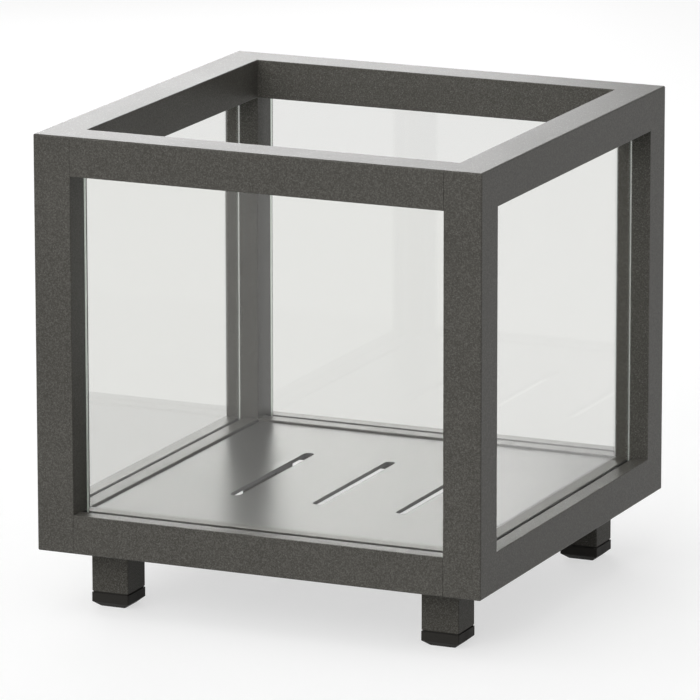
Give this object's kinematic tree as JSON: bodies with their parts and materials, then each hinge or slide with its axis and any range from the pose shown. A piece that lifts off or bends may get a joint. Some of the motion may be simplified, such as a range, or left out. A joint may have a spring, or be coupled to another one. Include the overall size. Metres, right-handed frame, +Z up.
{
  "type": "garden candle lantern",
  "caption": "Open-topped square garden lantern: a dark square-tube frame with a clear pane in each side and a slotted base plate, standing on short inset legs with plastic foot caps.",
  "frame": {"origin": "on the floor, under the middle of the lantern", "axes": "+Z up, +X to the lantern's right, +Y to its back; the base plate's slots run along Y"},
  "size_m": [0.3, 0.3, 0.305],
  "materials": {
    "frame_paint": "fine-textured dark warm grey powder coat on aluminium tube",
    "plate_paint": "satin dark grey powder coat on aluminium sheet",
    "clear_glass": "clear float glass with polished pale green edges",
    "seal_rubber": "matt black",
    "cap_plastic": "lightly textured black plastic"
  },
  "bodies": {
    "root": {"post_front_left": "frame_paint", "post_front_right": "frame_paint", "post_back_left": "frame_paint", "post_back_right": "frame_paint", "top_rail_front": "frame_paint", "top_rail_back": "frame_paint", "top_rail_left": "frame_paint", "top_rail_right": "frame_paint", "bottom_rail_front": "frame_paint", "bottom_rail_back": "frame_paint", "bottom_rail_left": "frame_paint", "bottom_rail_right": "frame_paint", "leg_front_left": "frame_paint", "leg_front_right": "frame_paint", "leg_back_left": "frame_paint", "leg_back_right": "frame_paint", "base_plate": "plate_paint", "glass_front": "clear_glass", "glass_back": "clear_glass", "glass_left": "clear_glass", "glass_right": "clear_glass", "glass_seal_front": "seal_rubber", "glass_seal_back": "seal_rubber", "glass_seal_left": "seal_rubber", "glass_seal_right": "seal_rubber", "glass_seal_upper_front": "seal_rubber", "glass_seal_upper_back": "seal_rubber", "glass_seal_upper_left": "seal_rubber", "glass_seal_upper_right": "seal_rubber", "foot_cap_front_left": "cap_plastic", "foot_cap_front_right": "cap_plastic", "foot_cap_back_left": "cap_plastic", "foot_cap_back_right": "cap_plastic"}
  },
  "joints": []
}
